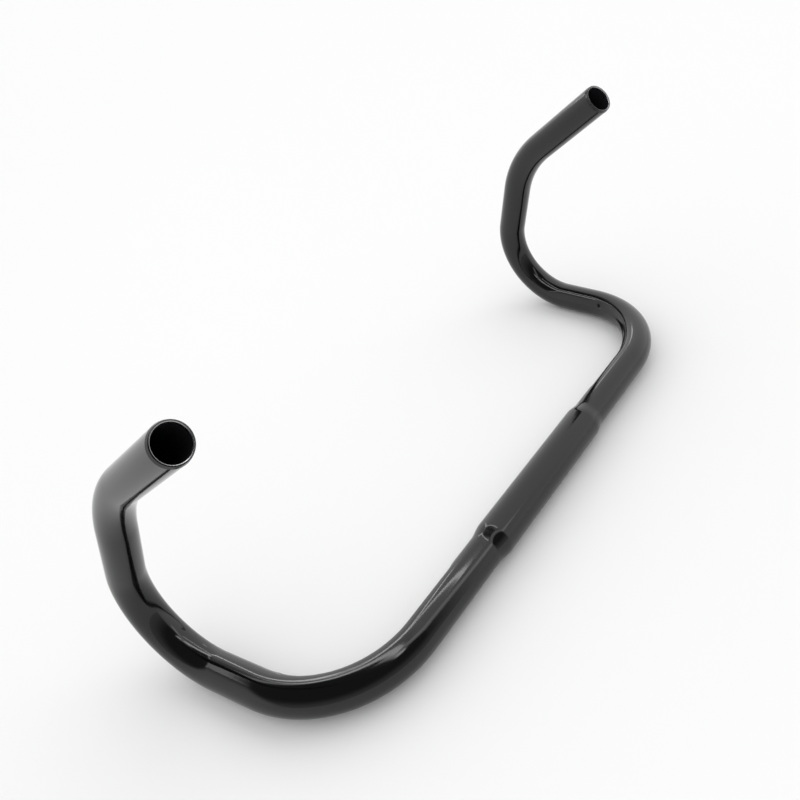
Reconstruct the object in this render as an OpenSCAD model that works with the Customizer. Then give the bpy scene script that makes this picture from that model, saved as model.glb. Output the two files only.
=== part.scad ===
// Drop handlebar, bent from one drawn alloy tube, shown as it lies with its hooks up.
// The origin is the middle of the clamped section: X runs along it, Y points the way
// the bar reaches, and Z points up towards the hooks.

/* [Tube] */
// Outer diameter of the tube, which the levers and grips fit
tube_d = 22.2; // [20:0.1:26]
// Wall thickness of the tube
tube_wall = 1.7; // [1.4:0.1:2.4]

/* [Clamped middle] */
// Diameter of the thick middle that the stem clamps
clamp_d = 25.4; // [23:0.1:31.8]
// Wall thickness under the stem
clamp_wall = 2.3; // [1.6:0.1:3.2]
// Length of the thick middle at its full diameter
clamp_len = 116; // [40:1:160]
// Length of each smooth shoulder from the thick middle down to the tube
shoulder_len = 12; // [5:1:30]
// Flat steps that each shoulder's curve is drawn with
shoulder_steps = 10; // [4:1:16]
// Straight tube between a shoulder and the forward bend
flat_len = 68; // [35:1:120]

/* [Forward bend and ramp] */
// Centreline radius of the forward bend
reach_r = 72; // [45:1:110]
// Angle that the forward bend turns through
reach_angle = 83; // [60:1:95]
// Straight ramp between the forward bend and the hook
ramp_len = 30; // [10:1:80]

/* [Hook] */
// Lean of the hook, as the angle between its plane and the plane of the tops
hook_lean = 88; // [70:1:100]
// Centreline radius of the hook's deep bend
drop_r = 49; // [35:1:80]
// Angle that the deep bend turns through
drop_angle = 111; // [80:1:125]
// Straight tube between the deep bend and the grip bend
rise_len = 40; // [10:1:80]
// Twist of the grip bend out of the hook's plane
grip_twist = 5; // [0:0.5:15]
// Centreline radius of the grip bend
grip_r = 88; // [50:1:130]
// Angle that the grip bend turns through
grip_angle = 34.5; // [15:0.5:60]
// Straight grip at the end of the hook
grip_len = 72; // [50:1:140]

/* [Tube ends] */
// Length of the turned chamfer at each end
end_len = 2; // [0.5:0.1:4]
// Depth of the turned chamfer, measured on the radius
end_depth = 0.5; // [0.2:0.1:1]
// Bevel on the inner edge of each end
mouth_bevel = 0.4; // [0.2:0.1:0.8]

/* [Cable groove] */
// Radius of the round former that presses the groove
groove_r = 6; // [4:0.5:10]
// Depth of the groove below the tube's surface
groove_depth = 1.3; // [0.6:0.1:2]
// Angle of the groove round the tube, from straight forward towards the hooks
groove_side = 34; // [0:1:80]
// Plain tube between a shoulder and the start of the groove
groove_gap = 25; // [8:1:30]
// Angle of the forward bend that the groove follows before it runs out
groove_angle = 71; // [20:1:90]

/* [Hidden] */
$fn = 72;
// How far a bore runs past the face that it opens
past = 1;
// How far a straight past the forward bend laps over the bends at its ends
lap = 0.1;
// Difference in radius where two lap, so that no two surfaces coincide
hair = 0.002;
tube_r = tube_d / 2;
bore_r = tube_r - tube_wall;
clamp_r = clamp_d / 2;
clamp_bore_r = clamp_r - clamp_wall;
// Distance from the middle of the bar to where its forward bend starts
top_len = clamp_len / 2 + shoulder_len + flat_len;
// Distance of the former's centre from the tube's own centreline
former_off = tube_r - groove_depth + groove_r;
former_in = former_off * cos(groove_side);
former_up = former_off * sin(groove_side);

// Radius part of the way down a shoulder, with no corner at either end of it
function shoulder_r(mid, side, t) = mid + (side - mid) * t * t * (3 - 2 * t);

// Half outline of the middle section, from its centre out to the forward bend
function middle_half(mid, side) = [
    for (i = [0:shoulder_steps])
        let(t = i / shoulder_steps)
        [shoulder_r(mid, side, t), clamp_len / 2 + shoulder_len * t],
    [side, top_len]
];

// Straight middle of the bar as a solid, thick at its centre and thinner at its sides
module middle_rod(mid, side) {
    half = middle_half(mid, side);
    last = len(half) - 1;
    other = [for (i = [last:-1:0]) [half[i][0], -half[i][1]]];
    rotate([0, 90, 0])
        rotate_extrude()
            polygon(concat([[0, top_len], [0, -top_len]], other, half));
}

// Straight rod along X, lapped over whatever it joins
module run(length, r) {
    translate([-lap, 0, 0])
        rotate([0, 90, 0]) cylinder(r = r + hair, h = length + 2 * lap);
}

// Bent rod that leaves the origin along X and turns towards Y
module bend(centre_r, angle, r) {
    translate([0, centre_r, 0])
        rotate([0, 0, -90])
            rotate_extrude(angle = angle)
                translate([centre_r, 0]) circle(r = r);
}

// Carries its children to the far end of a straight rod
module after_run(length) {
    translate([length, 0, 0]) children();
}

// Carries its children to the far end of a bent rod and turns them with it
module after_bend(centre_r, angle) {
    translate([centre_r * sin(angle), centre_r * (1 - cos(angle)), 0])
        rotate([0, 0, angle]) children();
}

// Bends and straights of one side as a solid, with the child as the last straight
module side_rod(r) {
    bend(reach_r, reach_angle, r);
    after_bend(reach_r, reach_angle) {
        run(ramp_len, r);
        after_run(ramp_len) rotate([hook_lean, 0, 0]) {
            bend(drop_r, drop_angle, r);
            after_bend(drop_r, drop_angle) {
                run(rise_len, r);
                after_run(rise_len) rotate([grip_twist, 0, 0]) {
                    bend(grip_r, grip_angle, r - hair);
                    after_bend(grip_r, grip_angle) children();
                }
            }
        }
    }
}

// Draws its children on both sides of the bar
module both_sides() {
    for (side = [0, 1])
        mirror([side, 0, 0])
            children();
}

// Grip with the turned chamfer at its open end
module grip_rod() {
    rotate([0, 90, 0])
        rotate_extrude()
            polygon([
                [0, -lap],
                [tube_r - 2 * hair, -lap],
                [tube_r, 0],
                [tube_r, grip_len - end_len],
                [tube_r - end_depth, grip_len],
                [0, grip_len]
            ]);
}

// Bore of the grip, with the bevel at its mouth
module grip_bore() {
    mouth_r = bore_r + mouth_bevel;
    rotate([0, 90, 0])
        rotate_extrude()
            polygon([
                [0, -lap],
                [bore_r - 2 * hair, -lap],
                [bore_r, 0],
                [bore_r, grip_len - mouth_bevel],
                [mouth_r, grip_len],
                [mouth_r, grip_len + past],
                [0, grip_len + past]
            ]);
}

// Round-ended former that follows the tube from the tops into the forward bend
module former(r) {
    inner_r = reach_r - former_in;
    straight = flat_len - groove_gap;
    translate([top_len, former_in, former_up]) {
        translate([-straight, 0, 0]) sphere(r = r);
        rotate([0, -90, 0]) cylinder(r = r, h = straight);
        bend(inner_r, groove_angle, r);
        after_bend(inner_r, groove_angle) sphere(r = r + hair);
    }
}

// Whole bar as a solid of one thickness
module outside() {
    middle_rod(clamp_r, tube_r);
    both_sides()
        after_run(top_len) side_rod(tube_r) grip_rod();
}

// Space inside the tube, which the pressed grooves stand into
module inside() {
    difference() {
        union() {
            middle_rod(clamp_bore_r, bore_r);
            both_sides()
                after_run(top_len) side_rod(bore_r) grip_bore();
        }
        both_sides() former(groove_r + tube_wall);
    }
}

// One tube with its thick middle, bends, chamfered ends and pressed cable grooves
module handlebar() {
    color("black")
        difference() {
            outside();
            inside();
            both_sides() former(groove_r);
        }
}

handlebar();
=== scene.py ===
"""Drop handlebar, one bent alloy tube in gloss black, lying hooks up on a white table.

Metres, in the frame of the solids: the origin is the middle of the clamped section, X runs
along it, Y points the way the bar reaches, and Z points up towards the hooks.
"""

from __future__ import annotations

import logging
import math
from dataclasses import dataclass, field, replace
from enum import Enum, IntEnum
from typing import Iterator

import bpy
from mathutils import Matrix, Quaternion, Vector

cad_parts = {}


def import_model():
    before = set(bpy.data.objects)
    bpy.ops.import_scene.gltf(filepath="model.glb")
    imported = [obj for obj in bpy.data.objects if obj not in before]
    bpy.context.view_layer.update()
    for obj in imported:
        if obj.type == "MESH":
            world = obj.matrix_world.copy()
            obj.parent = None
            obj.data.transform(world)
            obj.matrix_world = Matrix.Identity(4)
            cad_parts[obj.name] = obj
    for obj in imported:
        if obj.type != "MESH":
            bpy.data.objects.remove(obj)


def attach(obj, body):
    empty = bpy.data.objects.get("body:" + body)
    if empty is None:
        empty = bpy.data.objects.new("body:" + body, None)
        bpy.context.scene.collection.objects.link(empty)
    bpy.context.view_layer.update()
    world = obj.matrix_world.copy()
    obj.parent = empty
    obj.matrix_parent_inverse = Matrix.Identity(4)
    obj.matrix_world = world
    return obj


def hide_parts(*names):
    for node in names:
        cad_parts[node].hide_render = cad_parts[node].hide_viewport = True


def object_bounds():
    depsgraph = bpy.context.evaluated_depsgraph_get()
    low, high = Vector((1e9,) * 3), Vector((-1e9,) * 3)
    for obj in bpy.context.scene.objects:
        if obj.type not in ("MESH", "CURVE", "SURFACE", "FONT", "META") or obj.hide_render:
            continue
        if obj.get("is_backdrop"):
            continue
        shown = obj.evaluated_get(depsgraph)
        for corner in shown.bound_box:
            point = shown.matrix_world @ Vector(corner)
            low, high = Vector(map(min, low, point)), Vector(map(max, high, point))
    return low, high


log = logging.getLogger("handlebar")

MM = 0.001

Colour = tuple[float, float, float, float]
Span = tuple[float, float]


class Skin(IntEnum):
    """The four surfaces that one closed tube has, in the order of its material slots."""

    OUTSIDE = 0
    RIM = 1
    EDGE = 2
    BORE = 3


class LampShape(Enum):
    """Outline of a studio lamp's diffuser."""

    PANEL = "RECTANGLE"
    ROUND = "DISK"


@dataclass(frozen=True)
class TubeSizes:
    """Sizes of the bent tube, the same as those of the solids, in metres and radians."""

    tube_r: float = 11.1 * MM
    tube_wall: float = 1.7 * MM
    clamp_r: float = 12.7 * MM
    clamp_wall: float = 2.3 * MM
    clamp_half: float = 58.0 * MM
    shoulder_len: float = 12.0 * MM
    flat_len: float = 68.0 * MM
    reach_r: float = 72.0 * MM
    reach_angle: float = math.radians(83.0)
    ramp_len: float = 30.0 * MM
    hook_lean: float = math.radians(88.0)
    drop_r: float = 49.0 * MM
    drop_angle: float = math.radians(111.0)
    rise_len: float = 40.0 * MM
    grip_twist: float = math.radians(5.0)
    grip_r: float = 88.0 * MM
    grip_angle: float = math.radians(34.5)
    grip_len: float = 72.0 * MM
    end_len: float = 2.0 * MM
    end_depth: float = 0.5 * MM
    mouth_bevel: float = 0.4 * MM
    groove_r: float = 6.0 * MM
    groove_depth: float = 1.3 * MM
    groove_side: float = math.radians(34.0)
    groove_gap: float = 25.0 * MM
    groove_angle: float = math.radians(71.0)

    @property
    def bore_r(self) -> float:
        """Radius of the bore past the shoulders."""
        return self.tube_r - self.tube_wall

    @property
    def face_r(self) -> float:
        """Outer radius of the face at an open end."""
        return self.tube_r - self.end_depth

    @property
    def mouth_r(self) -> float:
        """Radius of the bore's mouth, where its bevel meets the face."""
        return self.bore_r + self.mouth_bevel

    @property
    def top_len(self) -> float:
        """Distance from the middle to the start of the forward bend."""
        return self.clamp_half + self.shoulder_len + self.flat_len

    @property
    def groove_from(self) -> float:
        """Distance along the tube from the middle to the groove's first ball end."""
        return self.clamp_half + self.shoulder_len + self.groove_gap

    @property
    def groove_to(self) -> float:
        """Distance along the tube from the middle to the groove's last ball end."""
        return self.top_len + self.reach_r * self.groove_angle

    @property
    def former_off(self) -> float:
        """Distance of the groove former's centre from the tube's centreline."""
        return self.tube_r - self.groove_depth + self.groove_r

    @property
    def half_len(self) -> float:
        """Length of half the tube along its centreline."""
        radii = (self.reach_r, self.drop_r, self.grip_r)
        angles = (self.reach_angle, self.drop_angle, self.grip_angle)
        bends = sum(radius * angle for radius, angle in zip(radii, angles))
        return self.top_len + self.ramp_len + self.rise_len + self.grip_len + bends


@dataclass(frozen=True)
class Station:
    """One cut across the tube.

    Attributes:
        point: Centre of the cut.
        inner: Unit vector across the tube, towards the inside of the forward bend.
        upper: Unit vector across the tube, towards the hooks.
        along: Distance from the middle of the bar, measured along the tube.
    """

    point: Vector
    inner: Vector
    upper: Vector
    along: float

    def mirrored(self) -> Station:
        """The same cut on the other side of the bar."""
        flip = Vector((-1.0, 1.0, 1.0))
        return Station(self.point * flip, self.inner * flip, self.upper * flip, -self.along)


@dataclass(frozen=True)
class Ring:
    """One ring of the skin.

    Attributes:
        station: The cut that it lies in.
        girth: Radius of the tube there.
        former: Radius of the former that presses the groove.
        reach: Distance of the former's centre from the tube's centreline.
        skin: Surface that the ring belongs to.
    """

    station: Station
    girth: float
    former: float
    reach: float
    skin: Skin


@dataclass
class Centreline:
    """Walks along one half of the bent tube, from its middle to its open end."""

    sizes: TubeSizes
    point: Vector = field(default_factory=Vector)
    heading: Vector = field(default_factory=lambda: Vector((1.0, 0.0, 0.0)))
    inner: Vector = field(default_factory=lambda: Vector((0.0, 1.0, 0.0)))
    lean: float = 0.0
    along: float = 0.0

    def cut(self) -> Station:
        """The cut across the tube at the walker's place."""
        upper = self.heading.cross(self.inner)
        return Station(self.point.copy(), self.inner.copy(), upper, self.along)

    def straight(self, length: float, marks: list[float]) -> Iterator[Station]:
        """Walks straight on.

        Args:
            length: How far to walk.
            marks: Distances from the start at which to cut the tube.

        Returns:
            The cuts, and one at the end.
        """
        start, from_here = self.point.copy(), self.along
        for mark in [m for m in marks if 0.0 < m < length] + [length]:
            self.point = start + self.heading * mark
            self.along = from_here + mark
            yield self.cut()

    def bend(self, radius: float, angle: float, step: float) -> Iterator[Station]:
        """Walks round a bend whose centre lies at the present lean.

        Args:
            radius: Radius of the centreline.
            angle: Angle that the bend turns through.
            step: Greatest distance between two cuts.

        Returns:
            The cuts, and one at the end.
        """
        upper = self.heading.cross(self.inner)
        to_centre = self.inner * math.cos(self.lean) + upper * math.sin(self.lean)
        centre = self.point + to_centre * radius
        axis = self.heading.cross(to_centre)
        start, heading, inner, from_here = self.point - centre, self.heading, self.inner, self.along
        count = max(2, math.ceil(radius * angle / step))
        for i in range(1, count + 1):
            turn = Quaternion(axis, angle * i / count)
            self.point = centre + turn @ start
            self.heading = turn @ heading
            self.inner = turn @ inner
            self.along = from_here + radius * angle * i / count
            yield self.cut()

    def walk(self, step: float, marks: list[float]) -> list[Station]:
        """Walks from the middle of the bar to its open end.

        Args:
            step: Greatest distance between two cuts in a bend.
            marks: Distances from the middle at which a straight is cut as well.

        Returns:
            Every cut in order.
        """
        s = self.sizes
        cuts = [self.cut()]

        def here() -> list[float]:
            """The marks, counted from the walker's place."""
            return [m - self.along for m in marks]

        cuts += self.straight(s.top_len, here())
        cuts += self.bend(s.reach_r, s.reach_angle, step)
        cuts += self.straight(s.ramp_len, here())
        self.lean += s.hook_lean
        cuts += self.bend(s.drop_r, s.drop_angle, step)
        cuts += self.straight(s.rise_len, here())
        self.lean += s.grip_twist
        cuts += self.bend(s.grip_r, s.grip_angle, step)
        cuts += self.straight(s.grip_len, here())
        return cuts


class Wiring:
    """Adds nodes to a node tree and joins them."""

    def __init__(self, tree: bpy.types.NodeTree) -> None:
        """Keeps the tree that the nodes go into."""
        self.tree = tree

    def node(self, kind: str, **settings: object) -> bpy.types.Node:
        """Adds a node and sets its properties.

        Args:
            kind: Blender's name of the node.
            **settings: Properties of the node by name.

        Returns:
            The new node.
        """
        made = self.tree.nodes.new(kind)
        for name, value in settings.items():
            setattr(made, name, value)
        return made

    def feed(self, socket: bpy.types.NodeSocket, value: object) -> None:
        """Joins a socket to another one, or sets it to a plain value."""
        if isinstance(value, bpy.types.NodeSocket):
            self.tree.links.new(value, socket)
        else:
            socket.default_value = value

    def math(self, operation: str, *values: object) -> bpy.types.NodeSocket:
        """Result of a Math node on the values."""
        made = self.node("ShaderNodeMath", operation=operation)
        for socket, value in zip(made.inputs, values):
            self.feed(socket, value)
        return made.outputs[0]

    def vector(self, operation: str, *values: object) -> bpy.types.NodeSocket:
        """Result of a Vector Math node on the values, a scale's factor last."""
        made = self.node("ShaderNodeVectorMath", operation=operation)
        sockets = [made.inputs[0], made.inputs[3]] if operation == "SCALE" else made.inputs
        for socket, value in zip(sockets, values):
            self.feed(socket, value)
        return made.outputs["Value" if operation == "DOT_PRODUCT" else "Vector"]

    def ranged(
        self, value: object, start: Span, result: Span, kind: str = "LINEAR"
    ) -> bpy.types.NodeSocket:
        """Carries a value over from one range into another.

        Args:
            value: The value.
            start: Lowest and highest value that comes in.
            result: What becomes of the two.
            kind: Blender's name of the course between them.

        Returns:
            The value in its new range.
        """
        made = self.node("ShaderNodeMapRange", interpolation_type=kind)
        ends = ("From Min", "From Max", "To Min", "To Max")
        for name, end in zip(ends, (*start, *result)):
            made.inputs[name].default_value = end
        self.feed(made.inputs["Value"], value)
        return made.outputs["Result"]

    def noise(self, place: bpy.types.NodeSocket, scale: float, detail: float) -> bpy.types.NodeSocket:
        """Noise from 0 to 1 at a place, of the given scale and detail."""
        made = self.node("ShaderNodeTexNoise")
        made.inputs["Scale"].default_value = scale
        made.inputs["Detail"].default_value = detail
        self.feed(made.inputs["Vector"], place)
        return made.outputs["Fac"]

    def bump(self, height: bpy.types.NodeSocket, strength: float, depth: float) -> bpy.types.NodeSocket:
        """Normals of a surface with fine relief.

        Args:
            height: Relief, from 0 to 1.
            strength: Share of the relief that shows.
            depth: Depth of the relief.

        Returns:
            The normals.
        """
        made = self.node("ShaderNodeBump")
        made.inputs["Strength"].default_value = strength
        made.inputs["Distance"].default_value = depth
        self.feed(made.inputs["Height"], height)
        return made.outputs["Normal"]


def new_material(name: str, base: Colour) -> tuple[bpy.types.Material, bpy.types.Node, Wiring]:
    """Starts a material.

    Args:
        name: Name of the material.
        base: Its base colour.

    Returns:
        The material, its shader and the wiring of its node tree.
    """
    made = bpy.data.materials.new(name)
    made.use_nodes = True
    made.diffuse_color = base
    shader = made.node_tree.nodes["Principled BSDF"]
    shader.inputs["Base Color"].default_value = base
    return made, shader, Wiring(made.node_tree)


@dataclass
class TubeSkin:
    """Geometry Nodes tree that wraps a skin round a row of cuts.

    Each point of the mesh that it works on is one cut, and holds the cut's two directions,
    its radius and the place of the groove former as attributes.

    Attributes:
        groove_side: Angle of the groove round the tube.
        around: Points round the tube.
        edge_soft: How far the groove's edges are rounded.
        weld: Distance within which the sheet's edges are joined.
    """

    groove_side: float
    around: int = 128
    edge_soft: float = 0.9 * MM
    weld: float = 0.001 * MM

    def tree(self) -> bpy.types.GeometryNodeTree:
        """Builds the node tree.

        Returns:
            The tree, with named inputs for its sizes.
        """
        tree = bpy.data.node_groups.new("TubeSkin", "GeometryNodeTree")
        wanted = {
            "Cuts": "NodeSocketGeometry",
            "Around": "NodeSocketInt",
            "Groove side": "NodeSocketFloat",
            "Edge softness": "NodeSocketFloat",
            **{surface.name.title(): "NodeSocketMaterial" for surface in Skin},
        }
        for name, kind in wanted.items():
            tree.interface.new_socket(name, in_out="INPUT", socket_type=kind)
        tree.interface.new_socket("Tube", in_out="OUTPUT", socket_type="NodeSocketGeometry")
        w = Wiring(tree)
        given = w.node("NodeGroupInput").outputs
        rows = w.node("GeometryNodeAttributeDomainSize", component="MESH")
        w.feed(rows.inputs["Geometry"], given["Cuts"])
        columns = w.math("ADD", given["Around"], 1.0)
        sheet = w.node("GeometryNodeMeshGrid")
        w.feed(sheet.inputs["Vertices X"], rows.outputs["Point Count"])
        w.feed(sheet.inputs["Vertices Y"], columns)

        index = w.node("GeometryNodeInputIndex").outputs[0]
        row = w.math("FLOOR", w.math("DIVIDE", w.math("ADD", index, 0.5), columns))
        column = w.math("SUBTRACT", index, w.math("MULTIPLY", row, columns))
        angle = w.math("DIVIDE", w.math("MULTIPLY", column, math.tau), given["Around"])

        def at_cut(name: str, kind: str) -> bpy.types.NodeSocket:
            """Value of a cut's attribute, for the row of the sheet that it carries."""
            stored = w.node("GeometryNodeInputNamedAttribute", data_type=kind)
            stored.inputs["Name"].default_value = name
            read = w.node("GeometryNodeSampleIndex", data_type=kind, domain="POINT")
            w.feed(read.inputs["Geometry"], given["Cuts"])
            w.feed(read.inputs["Value"], stored.outputs["Attribute"])
            w.feed(read.inputs["Index"], row)
            return read.outputs["Value"]

        point = at_cut("point", "FLOAT_VECTOR")
        inner = at_cut("inner", "FLOAT_VECTOR")
        upper = at_cut("upper", "FLOAT_VECTOR")
        girth = at_cut("girth", "FLOAT")
        former = at_cut("former", "FLOAT")
        reach = at_cut("reach", "FLOAT")
        skin = at_cut("skin", "FLOAT")
        along = at_cut("along", "FLOAT")

        off = w.math("SUBTRACT", angle, given["Groove side"])
        across = w.math("MULTIPLY", reach, w.math("SINE", off))
        ahead = w.math("MULTIPLY", reach, w.math("COSINE", off))
        squared = w.math("MULTIPLY", across, across)
        room = w.math("SUBTRACT", w.math("MULTIPLY", former, former), squared)
        near = w.math("SUBTRACT", ahead, w.math("SQRT", w.math("MAXIMUM", room, 0.0)))
        in_width, in_front = (w.math("GREATER_THAN", value, 0.0) for value in (room, ahead))
        touches = w.math("MULTIPLY", in_width, in_front)
        former_r = w.math("MULTIPLY_ADD", near, touches, w.math("SUBTRACT", 1.0, touches))
        pressed = w.math("SMOOTH_MIN", girth, former_r, given["Edge softness"])

        side = w.vector("SCALE", inner, w.math("COSINE", angle))
        rise = w.vector("SCALE", upper, w.math("SINE", angle))
        out = w.vector("SCALE", w.vector("ADD", side, rise), pressed)
        place = w.node("GeometryNodeSetPosition")
        w.feed(place.inputs["Geometry"], sheet.outputs["Mesh"])
        w.feed(place.inputs["Position"], w.vector("ADD", point, out))

        made = place.outputs["Geometry"]
        for name, value in (("along", along), ("round", angle), ("skin", skin)):
            store = w.node("GeometryNodeStoreNamedAttribute", data_type="FLOAT", domain="POINT")
            store.inputs["Name"].default_value = name
            w.feed(store.inputs["Geometry"], made)
            w.feed(store.inputs["Value"], value)
            made = store.outputs["Geometry"]
        outward = w.node("GeometryNodeFlipFaces")
        w.feed(outward.inputs["Mesh"], made)
        weld = w.node("GeometryNodeMergeByDistance")
        weld.inputs["Distance"].default_value = self.weld
        w.feed(weld.inputs["Geometry"], outward.outputs["Mesh"])
        smooth = w.node("GeometryNodeSetShadeSmooth")
        w.feed(smooth.inputs["Geometry"], weld.outputs["Geometry"])
        real = w.node("GeometryNodeRealizeInstances")
        w.feed(real.inputs["Geometry"], smooth.outputs["Geometry"])
        made = real.outputs["Geometry"]
        kept = w.node("GeometryNodeInputNamedAttribute", data_type="FLOAT")
        kept.inputs["Name"].default_value = "skin"
        for surface in Skin:
            paint = w.node("GeometryNodeSetMaterial")
            w.feed(paint.inputs["Geometry"], made)
            if surface is not Skin.OUTSIDE:
                above = w.math("GREATER_THAN", kept.outputs["Attribute"], surface - 0.5)
                w.feed(paint.inputs["Selection"], above)
            w.feed(paint.inputs["Material"], given[surface.name.title()])
            made = paint.outputs["Geometry"]
        w.feed(w.node("NodeGroupOutput").inputs["Tube"], made)
        return tree


@dataclass(frozen=True)
class GlossBlackCoat:
    """Clear gloss over black dyed alloy, with the slight ripple of a dipped coat."""

    base: Colour = (0.002, 0.002, 0.0023, 1.0)
    refraction: float = 1.5
    roughness: Span = (0.07, 0.14)
    haze_scale: float = 45.0
    haze_detail: float = 3.0
    ripple_scale: float = 160.0
    ripple_detail: float = 1.0
    ripple_strength: float = 0.012
    ripple_depth: float = 1.0 * MM

    def material(self) -> bpy.types.Material:
        """Builds the material.

        Returns:
            The gloss black material, with a patchy haze and a slight ripple.
        """
        made, shader, w = new_material("gloss_black_coat", self.base)
        shader.inputs["IOR"].default_value = self.refraction
        place = w.node("ShaderNodeTexCoord").outputs["Object"]
        haze = w.noise(place, self.haze_scale, self.haze_detail)
        w.feed(shader.inputs["Roughness"], w.ranged(haze, (0.0, 1.0), self.roughness))
        ripple = w.noise(place, self.ripple_scale, self.ripple_detail)
        w.feed(shader.inputs["Normal"], w.bump(ripple, self.ripple_strength, self.ripple_depth))
        return made


@dataclass(frozen=True)
class TurnedRim:
    """End of the tube, turned on a lathe and then coated with the rest."""

    base: Colour = (0.002, 0.002, 0.0023, 1.0)
    roughness: float = 0.12
    tool_feed: float = 0.12 * MM
    ring_strength: float = 0.15
    ring_depth: float = 0.02 * MM

    def material(self) -> bpy.types.Material:
        """Builds the material.

        Returns:
            The rim's material, with fine rings left by the tool.
        """
        made, shader, w = new_material("turned_rim", self.base)
        shader.inputs["Roughness"].default_value = self.roughness
        along = w.node("ShaderNodeAttribute", attribute_name="along").outputs["Fac"]
        rings = w.math("SINE", w.math("MULTIPLY", along, math.tau / self.tool_feed))
        w.feed(shader.inputs["Normal"], w.bump(rings, self.ring_strength, self.ring_depth))
        return made


@dataclass(frozen=True)
class BareEdge:
    """Inner edge of the tube's mouth, where the bevel has cut the coat back to bare alloy."""

    base: Colour = (0.36, 0.36, 0.37, 1.0)
    metallic: float = 1.0
    roughness: Span = (0.168, 0.392)
    chatter_scale: float = 900.0
    chatter_detail: float = 2.0

    def material(self) -> bpy.types.Material:
        """Builds the material.

        Returns:
            The bevel's material, duller and brighter by turns where the cutter chattered.
        """
        made, shader, w = new_material("bare_edge", self.base)
        shader.inputs["Metallic"].default_value = self.metallic
        place = w.node("ShaderNodeTexCoord").outputs["Object"]
        chatter = w.noise(place, self.chatter_scale, self.chatter_detail)
        w.feed(shader.inputs["Roughness"], w.ranged(chatter, (0.0, 1.0), self.roughness))
        return made


@dataclass(frozen=True)
class DrawnBore:
    """Inside of the tube, drawn over a mandrel, dyed dark and left uncoated."""

    base: Colour = (0.03, 0.03, 0.034, 1.0)
    metallic: float = 0.6
    roughness: Span = (0.285, 0.475)
    streaks_round: float = 14.0
    streaks_along: float = 40.0
    streak_detail: float = 4.0

    def material(self) -> bpy.types.Material:
        """Builds the material.

        Returns:
            The bore's material, with faint streaks along the tube.
        """
        made, shader, w = new_material("drawn_bore", self.base)
        shader.inputs["Metallic"].default_value = self.metallic
        around, along = (
            w.node("ShaderNodeAttribute", attribute_name=name).outputs["Fac"] for name in ("round", "along")
        )
        place = w.node("ShaderNodeCombineXYZ")
        w.feed(place.inputs["X"], w.math("MULTIPLY", around, self.streaks_round))
        w.feed(place.inputs["Y"], w.math("MULTIPLY", along, self.streaks_along))
        streaks = w.noise(place.outputs["Vector"], 1.0, self.streak_detail)
        w.feed(shader.inputs["Roughness"], w.ranged(streaks, (0.0, 1.0), self.roughness))
        return made


@dataclass(frozen=True)
class EndOutline:
    """Steps by which the skin rounds the corners of an open end, each as (back, out).

    Attributes:
        soft: How far a corner is rounded.
        chamfer: Steps after the chamfer's start, back and inwards in metres.
        face: Steps round the face's outer corner, as shares of soft.
        coat_stop: Where the coat stops on the face, outside the mouth, as a share of soft.
        mouth: Steps round the mouth's corner, as shares of soft.
        bevel: Steps at the bevel's foot, back as shares of the bevel and out as shares of soft.
    """

    soft: float = 0.12 * MM
    chamfer: tuple[Span, ...] = ((0.05 * MM, 0.03 * MM), (0.25 * MM, 0.1 * MM))
    face: tuple[Span, ...] = ((2.0, 0.4), (0.6, -0.1), (0.0, -1.0))
    coat_stop: float = 1.5
    mouth: tuple[Span, ...] = ((0.0, 1.0), (0.5, -0.1))
    bevel: tuple[Span, ...] = ((0.9, 0.3), (1.6, 0.0))

    def turned(self, s: TubeSizes) -> list[Span]:
        """Outline of the coated part, as distances back from the face and radii."""
        outline = [(s.end_len - back, s.tube_r - drop) for back, drop in self.chamfer]
        outline += [(self.soft * back, s.face_r + self.soft * out) for back, out in self.face]
        return outline + [(0.0, s.mouth_r + self.soft * self.coat_stop)]

    def bare(self, s: TubeSizes) -> list[Span]:
        """Outline of the bare bevel, as distances back from the face and radii."""
        outline = [(self.soft * back, s.mouth_r + self.soft * out) for back, out in self.mouth]
        return outline + [(s.mouth_bevel * back, s.bore_r + self.soft * out) for back, out in self.bevel]


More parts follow.
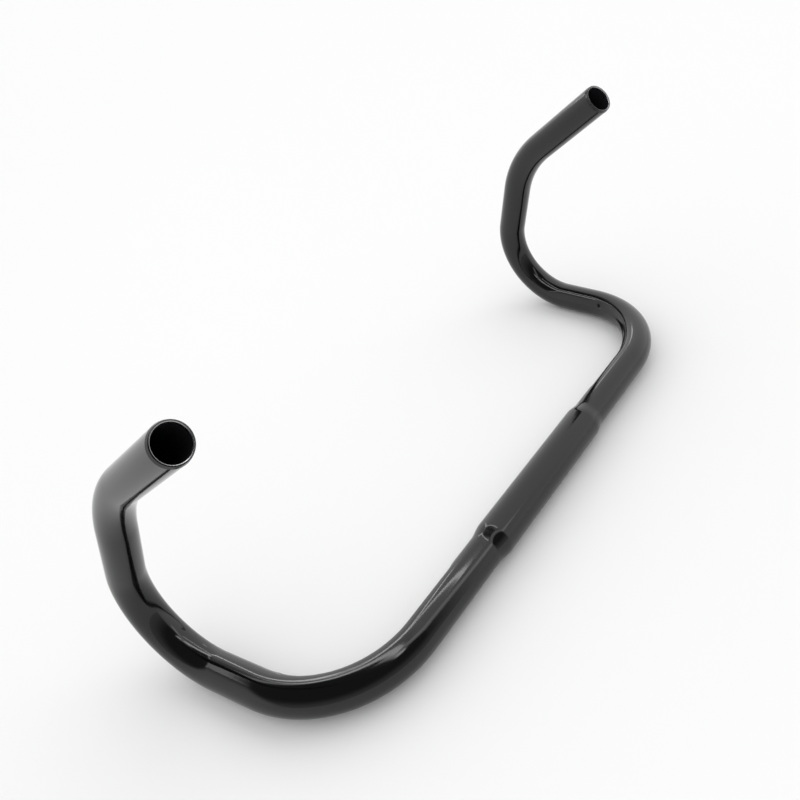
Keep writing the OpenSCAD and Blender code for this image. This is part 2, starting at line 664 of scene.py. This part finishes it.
@dataclass
class Handlebar:
    """The bent tube, as one closed skin that replaces the plain solid.

    Attributes:
        sizes: Sizes of the tube.
        end: How the corners of the open ends are rounded.
        outside_step: Greatest distance between two rings in a bend, on the outside.
        bore_step: The same in the bore.
        shoulder_steps: Parts that each shoulder is cut into.
        ball_steps: Cuts before the start of the groove, where it sinks into the tube.
        ball_step: Distance between those cuts.
        settled: Distance past the groove's start at which its form is the same all along.
        rim_lead: Distances before the turned end at which the grip is cut.
        mouth_gap: Plain bore left between its last ring and its bevel.
        run_out: How soon the former leaves the tube past the groove's ends.
        coat: Finish of the outside.
        rim: Finish of the turned ends.
        edge: Finish of the mouths' bevels.
        bore: Finish of the bore.
    """

    sizes: TubeSizes = field(default_factory=TubeSizes)
    end: EndOutline = field(default_factory=EndOutline)
    outside_step: float = 1.6 * MM
    bore_step: float = 4.0 * MM
    shoulder_steps: int = 22
    ball_steps: int = 14
    ball_step: float = 0.6 * MM
    settled: float = 12.0 * MM
    rim_lead: tuple[float, ...] = (12.0 * MM, 1.0 * MM, 0.2 * MM, 0.0)
    mouth_gap: float = 0.1 * MM
    run_out: float = 6.0 * MM
    coat: GlossBlackCoat = field(default_factory=GlossBlackCoat)
    rim: TurnedRim = field(default_factory=TurnedRim)
    edge: BareEdge = field(default_factory=BareEdge)
    bore: DrawnBore = field(default_factory=DrawnBore)

    def girth(self, along: float, mid: float, side: float) -> float:
        """Radius of a surface, thick in the clamped middle and thinner beyond its shoulders.

        Args:
            along: Distance from the middle, measured along the tube.
            mid: Radius in the middle.
            side: Radius past the shoulders.

        Returns:
            The radius there.
        """
        s = self.sizes
        t = min(max((abs(along) - s.clamp_half) / s.shoulder_len, 0.0), 1.0)
        return mid + (side - mid) * t * t * (3.0 - 2.0 * t)

    def former_reach(self, along: float) -> float:
        """Distance of the groove former from the centreline, drawn back past the groove's ends.

        Args:
            along: Distance from the middle, measured along the tube.

        Returns:
            The distance there.
        """
        s = self.sizes
        past = max(s.groove_from - abs(along), abs(along) - s.groove_to, 0.0)
        return s.former_off + past * past / (2.0 * self.run_out)

    def marks(self) -> list[float]:
        """Distances from the middle at which the straights need a cut."""
        s = self.sizes
        shares = [i / self.shoulder_steps for i in range(self.shoulder_steps + 1)]
        shoulder = [s.clamp_half + s.shoulder_len * share for share in shares]
        ball = [s.groove_from - self.ball_step * i for i in range(self.ball_steps + 1)]
        rim = self.rim_at()
        grip = [rim - lead for lead in self.rim_lead]
        return sorted([s.clamp_half / 2.0, *shoulder, *ball, s.groove_from + self.settled, *grip])

    def rim_at(self) -> float:
        """Distance from the middle at which the turned end starts."""
        return self.sizes.half_len - self.sizes.end_len

    def outside_half(self) -> list[Ring]:
        """Rings of the outside, from the middle to the start of the turned end."""
        s = self.sizes
        rings = []
        for cut in Centreline(s).walk(self.outside_step, self.marks()):
            if cut.along < self.rim_at() + self.end.soft / 2.0:
                girth = self.girth(cut.along, s.clamp_r, s.tube_r)
                rings.append(Ring(cut, girth, s.groove_r, self.former_reach(cut.along), Skin.OUTSIDE))
        return rings

    def bore_half(self) -> list[Ring]:
        """Rings of the bore, from the middle to the bevel at its mouth."""
        s = self.sizes
        last = s.half_len - s.mouth_bevel - self.mouth_gap
        former_r = s.groove_r + s.tube_wall
        rings = []
        for cut in Centreline(s).walk(self.bore_step, self.marks()):
            if cut.along < last:
                girth = self.girth(cut.along, s.clamp_r - s.clamp_wall, s.bore_r)
                rings.append(Ring(cut, girth, former_r, self.former_reach(cut.along), Skin.BORE))
        return rings

    def end_rings(self) -> list[Ring]:
        """Rings round the open end, from the turned chamfer over the face to the bore's bevel."""
        s = self.sizes
        end = Centreline(s).walk(self.outside_step, [])[-1]
        heading = end.inner.cross(end.upper)
        rings = []
        for outline, skin in ((self.end.turned(s), Skin.RIM), (self.end.bare(s), Skin.EDGE)):
            for back, girth in outline:
                cut = Station(end.point - heading * back, end.inner, end.upper, end.along - back)
                rings.append(Ring(cut, girth, s.groove_r, self.former_reach(cut.along), skin))
        return rings

    def rings(self) -> list[Ring]:
        """Every ring of the closed skin: out along one half, in through its end, and back.

        Returns:
            The rings in order, the last one lying on the first.
        """
        half = self.outside_half() + self.end_rings() + self.bore_half()[::-1]
        other = [replace(ring, station=ring.station.mirrored()) for ring in half]
        return half + other[::-1][1:]

    def cuts_mesh(self, rings: list[Ring]) -> bpy.types.Mesh:
        """Loose points, one for each ring, that hold what the node tree reads.

        Args:
            rings: The rings of the skin.

        Returns:
            The mesh of points.
        """
        mesh = bpy.data.meshes.new("cuts")
        mesh.from_pydata([tuple(r.station.point) for r in rings], [], [])
        vectors = {
            "point": [r.station.point for r in rings],
            "inner": [r.station.inner for r in rings],
            "upper": [r.station.upper for r in rings],
        }
        for name, values in vectors.items():
            stored = mesh.attributes.new(name, "FLOAT_VECTOR", "POINT")
            stored.data.foreach_set("vector", [x for v in values for x in v])
        numbers = {
            "girth": [r.girth for r in rings],
            "former": [r.former for r in rings],
            "reach": [r.reach for r in rings],
            "skin": [float(r.skin) for r in rings],
            "along": [r.station.along for r in rings],
        }
        for name, values in numbers.items():
            stored = mesh.attributes.new(name, "FLOAT", "POINT")
            stored.data.foreach_set("value", values)
        return mesh

    def build(self) -> bpy.types.Object:
        """Makes the tube and lets it stand for the plain solid.

        Returns:
            The finished piece.
        """
        rings = self.rings()
        cuts = bpy.data.objects.new("cuts", self.cuts_mesh(rings))
        bpy.context.scene.collection.objects.link(cuts)
        skin = TubeSkin(groove_side=self.sizes.groove_side)
        modifier = cuts.modifiers.new("TubeSkin", "NODES")
        modifier.node_group = skin.tree()
        finishes = {
            Skin.OUTSIDE: self.coat,
            Skin.RIM: self.rim,
            Skin.EDGE: self.edge,
            Skin.BORE: self.bore,
        }
        values = {
            "Around": skin.around,
            "Groove side": skin.groove_side,
            "Edge softness": skin.edge_soft,
            **{surface.name.title(): finish.material() for surface, finish in finishes.items()},
        }
        for item in modifier.node_group.interface.items_tree:
            if item.in_out == "INPUT" and item.name in values:
                modifier[item.identifier] = values[item.name]
        bpy.context.view_layer.update()
        evaluated = cuts.evaluated_get(bpy.context.evaluated_depsgraph_get())
        mesh = bpy.data.meshes.new_from_object(evaluated)
        mesh.name = "bent_tube"
        mesh.materials.pop(index=0)
        bpy.data.objects.remove(cuts)
        tube = bpy.data.objects.new("bent_tube", mesh)
        bpy.context.scene.collection.objects.link(tube)
        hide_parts("handlebar")
        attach(tube, "root")
        log.info("bent_tube: %d rings, %d faces", len(rings), len(mesh.polygons))
        return tube


@dataclass(frozen=True)
class Table:
    """White table that the bar lies on, tilted to touch its middle and its ramps.

    Attributes:
        colour: Colour of the table.
        roughness: Roughness of its surface.
        specular: Strength of its gloss.
        half: Half of its width and length.
        touch_y: Distance from the middle's centreline to where the ramps touch it.
    """

    colour: Colour = (0.9, 0.9, 0.9, 1.0)
    roughness: float = 0.6
    specular: float = 0.2
    half: float = 12.0
    touch_y: float = 95.0 * MM

    def build(self, sizes: TubeSizes) -> bpy.types.Object:
        """Makes the table and marks it as stage.

        Args:
            sizes: Sizes of the bar that it carries.

        Returns:
            The table.
        """
        tilt = math.asin((sizes.clamp_r - sizes.tube_r) / self.touch_y)
        foot = Vector((0.0, math.sin(tilt), -math.cos(tilt))) * sizes.clamp_r
        turn = Matrix.Rotation(tilt, 4, "X")
        h = self.half
        corners = [foot + turn @ Vector((x, y, 0.0)) for x, y in ((-h, -h), (h, -h), (h, h), (-h, h))]
        mesh = bpy.data.meshes.new("table")
        mesh.from_pydata([tuple(c) for c in corners], [], [(0, 1, 2, 3)])
        material, shader, _ = new_material("white_table", self.colour)
        shader.inputs["Roughness"].default_value = self.roughness
        shader.inputs["Specular IOR Level"].default_value = self.specular
        mesh.materials.append(material)
        table = bpy.data.objects.new("table", mesh)
        bpy.context.scene.collection.objects.link(table)
        table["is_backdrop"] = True
        log.info("table: tilted %.2f degrees", math.degrees(tilt))
        return table


@dataclass(frozen=True)
class StripLight:
    """Strip lamp with a plain diffuser that hangs level over the table.

    It shows in gloss only: the walls alone light the table, and so evenly.

    Attributes:
        name: Name of the lamp.
        start: Where its diffuser starts, seen from above.
        end: Where its diffuser ends, seen from above.
        width: Width of the diffuser.
        radiance: Brightness of the diffuser, where a white card in full light is 1.
        height: Height of the diffuser above the middle of the bar.
        shape: Outline of the diffuser.
    """

    name: str
    start: Span
    end: Span
    width: float
    radiance: float
    height: float = 0.5
    shape: LampShape = LampShape.PANEL

    def build(self) -> bpy.types.Object:
        """Makes the lamp.

        Returns:
            The lamp.
        """
        start, end = Vector(self.start), Vector(self.end)
        run = end - start
        middle = (start + end) / 2.0
        light = bpy.data.lights.new(self.name, "AREA")
        light.shape = self.shape.value
        light.size, light.size_y = run.length, self.width
        light.energy = self.radiance * run.length * self.width * math.pi
        lamp = bpy.data.objects.new(self.name, light)
        lamp.location = (middle.x, middle.y, self.height)
        lamp.rotation_euler = (0.0, 0.0, math.atan2(run.y, run.x))
        lamp.visible_diffuse = False
        bpy.context.scene.collection.objects.link(lamp)
        return lamp


@dataclass(frozen=True)
class Surround:
    """White tent round the table, open towards the photographer's dim room.

    Attributes:
        table_level: Light of the white walls on the table.
        table_room: Light of the dim room on the table, as a share of the walls'.
        room: Brightness of the dim room in the gloss, at the table and above the
            photographer, as a share of the walls'.
        room_top: Sine of the angle above the table at which the room is darkest.
        right_from: Where the lit part of the room starts to the photographer's right, and
            where it is in full light, as the X part of a heading.
        right_level: Brightness of that part in the gloss.
        back: Normal of the plane that bounds the back wall, pointing into it.
        roof: Normals of the planes that bound the roof and the side wall together.
        side_extra: How much brighter the roof and the side wall show in the gloss.
        edge: Softness of the border between the tent and the room.
    """

    table_level: float = 1.45
    table_room: float = 0.6
    room: Span = (0.56, 0.1)
    room_top: float = 0.6
    right_from: Span = (0.36, 0.5)
    right_level: float = 1.15
    back: tuple[float, float, float] = (0.0, 0.758, -0.652)
    roof: tuple[tuple[float, float, float], ...] = ((0.73, 0.68, -0.04), (0.947, -0.175, -0.262))
    side_extra: float = 0.28
    edge: float = 0.1

    def build(self) -> None:
        """Sets the world's light, which stays plain white where the camera sees it."""
        world = bpy.data.worlds.new("studio")
        bpy.context.scene.world = world
        world.use_nodes = True
        tree = world.node_tree
        w = Wiring(tree)
        shader = tree.nodes["Background"]
        shader.inputs["Color"].default_value = (1.0, 1.0, 1.0, 1.0)
        heading = w.node("ShaderNodeTexCoord").outputs["Generated"]

        def beyond(normal: tuple[float, float, float]) -> bpy.types.NodeSocket:
            """1 beyond the plane through the bar with the given normal, and 0 before it."""
            ahead = w.vector("DOT_PRODUCT", heading, normal)
            return w.ranged(ahead, (-self.edge, self.edge), (0.0, 1.0), kind="SMOOTHSTEP")

        side = w.math("MINIMUM", *(beyond(n) for n in self.roof))
        tent = w.math("MAXIMUM", beyond(self.back), side)
        rays = w.node("ShaderNodeLightPath").outputs
        shown = w.math("MAXIMUM", rays["Is Glossy Ray"], rays["Is Transmission Ray"])

        def by_ray(in_gloss: object, on_table: float) -> bpy.types.NodeSocket:
            """One value where the gloss shows the tent, and another where it lights the table."""
            return w.math("MULTIPLY_ADD", shown, w.math("SUBTRACT", in_gloss, on_table), on_table)

        walls = by_ray(w.math("MULTIPLY_ADD", side, self.side_extra, 1.0), self.table_level)
        parts = w.node("ShaderNodeSeparateXYZ")
        w.feed(parts.inputs[0], heading)
        dim = w.ranged(parts.outputs["Z"], (0.0, self.room_top), self.room, kind="SMOOTHSTEP")
        lit = w.ranged(parts.outputs["X"], self.right_from, (0.0, self.right_level), kind="SMOOTHSTEP")
        room = by_ray(w.math("MAXIMUM", dim, lit), self.table_room)
        share = w.math("MULTIPLY_ADD", tent, w.math("SUBTRACT", 1.0, room), room)
        light = w.math("MULTIPLY", walls, share)
        w.feed(shader.inputs["Strength"], w.math("MAXIMUM", rays["Is Camera Ray"], light))


@dataclass(frozen=True)
class StudioCamera:
    """Camera at the place and angle of the photograph's.

    Attributes:
        place: Where the camera stands.
        ahead: Direction that it looks in.
        above: Direction that is up in its picture.
        focal_px: Focal length, in pixels of the frame.
        frame_px: Width and height of the frame in pixels.
        sink_px: How far the frame is shifted down, in pixels.
        sensor: Width of the sensor in millimetres.
        clip: Nearest and farthest distance that it shows.
    """

    place: tuple[float, float, float] = (-0.3276, -0.2488, 0.3783)
    ahead: tuple[float, float, float] = (0.610, 0.625, -0.488)
    above: tuple[float, float, float] = (0.522, 0.147, 0.840)
    focal_px: float = 808.12
    frame_px: float = 800.0
    sink_px: float = 88.0
    sensor: float = 36.0
    clip: Span = (0.01, 100.0)

    def build(self) -> bpy.types.Object:
        """Makes the camera and gives it to the scene.

        Returns:
            The camera.
        """
        lens = bpy.data.cameras.new("studio_camera")
        lens.sensor_width = self.sensor
        lens.lens = self.focal_px * self.sensor / self.frame_px
        lens.shift_y = -self.sink_px / self.frame_px
        lens.clip_start, lens.clip_end = self.clip
        back = -Vector(self.ahead).normalized()
        right = Vector(self.above).cross(back).normalized()
        up = back.cross(right)
        camera = bpy.data.objects.new("studio_camera", lens)
        turn = Matrix((right, up, back)).transposed().to_4x4()
        camera.matrix_world = Matrix.Translation(self.place) @ turn
        bpy.context.scene.collection.objects.link(camera)
        bpy.context.scene.camera = camera
        return camera


def write_sizes(solids: tuple[Vector, Vector], looks: tuple[Vector, Vector]) -> None:
    """Logs how far the finished bar's box lies from the box of the solids, at most.

    Args:
        solids: Lowest and highest corner of the solids.
        looks: Lowest and highest corner of the finished bar.
    """
    grown = max(abs(a - b) for p, q in zip(solids, looks) for a, b in zip(p, q))
    log.info("the finished bar's box is within %.2f mm of the solids'", grown / MM)


def studio_lamps() -> list[StripLight]:
    """The studio's lamps, placed where the gloss shows their light.

    Returns:
        The strips round the tent's opening and under its roof, and the lamp to the right.
    """
    return [
        StripLight("front_strip", (0.38, -0.54), (-0.06, -0.07), 0.10, 1.4),
        StripLight("left_strip", (-0.09, -0.24), (0.045, 0.5), 0.055, 5.0),
        StripLight("left_panel", (-0.105, -0.26), (-0.085, 0.06), 0.05, 2.4),
        StripLight("back_strip", (0.0, 0.42), (-0.58, 0.48), 0.05, 2.2),
        StripLight("roof_strip", (0.16, -0.1), (0.15, 0.54), 0.022, 7.0),
        StripLight("corner_strip", (0.15, 0.54), (0.55, 1.15), 0.03, 7.0),
        StripLight("right_lamp", (0.80, 0.65), (0.96, 0.65), 0.16, 3.0, shape=LampShape.ROUND),
    ]


def main() -> None:
    """Builds the camera, the bar, the table and the lamps in order."""
    logging.basicConfig(level=logging.INFO, format="%(name)s: %(message)s")
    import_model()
    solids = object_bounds()
    bpy.context.scene.view_settings.view_transform = "Standard"
    StudioCamera().build()
    bar = Handlebar()
    bar.build()
    Table().build(bar.sizes)
    Surround().build()
    for lamp in studio_lamps():
        lamp.build()
        log.info("%s: lamp", lamp.name)
    write_sizes(solids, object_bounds())


if __name__ == "__main__":
    main()
